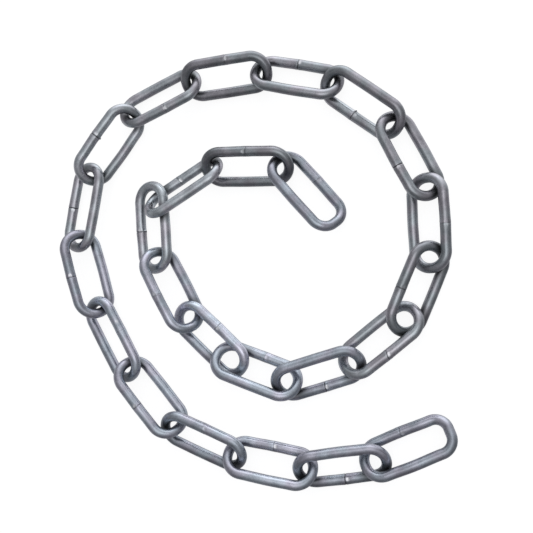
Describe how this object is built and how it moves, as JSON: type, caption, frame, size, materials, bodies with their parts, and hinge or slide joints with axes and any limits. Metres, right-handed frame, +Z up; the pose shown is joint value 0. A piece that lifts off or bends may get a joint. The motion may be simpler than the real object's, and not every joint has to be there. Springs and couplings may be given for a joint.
{
  "type": "steel chain",
  "caption": "Length of welded long-link steel chain, laid flat on the floor in an open coil, for hooking, hanging, tying down or cutting to length.",
  "frame": {"origin": "on the floor, under the middle of the laid coil's box", "axes": "+Z up from the floor; +X and +Y lie in the floor, to the right and to the top of the coil as the picture shows it"},
  "size_m": [0.1966, 0.2086, 0.0167],
  "materials": {
    "steel": "satin drawn wire, bare and finely mottled, darker where links rub"
  },
  "bodies": {
    "root": {"link_01": "steel", "link_02": "steel", "link_03": "steel", "link_04": "steel", "link_05": "steel", "link_06": "steel", "link_07": "steel", "link_08": "steel", "link_09": "steel", "link_10": "steel", "link_11": "steel", "link_12": "steel", "link_13": "steel", "link_14": "steel", "link_15": "steel", "link_16": "steel", "link_17": "steel", "link_18": "steel", "link_19": "steel", "link_20": "steel", "link_21": "steel", "link_22": "steel", "link_23": "steel", "link_24": "steel", "link_25": "steel"}
  },
  "joints": []
}
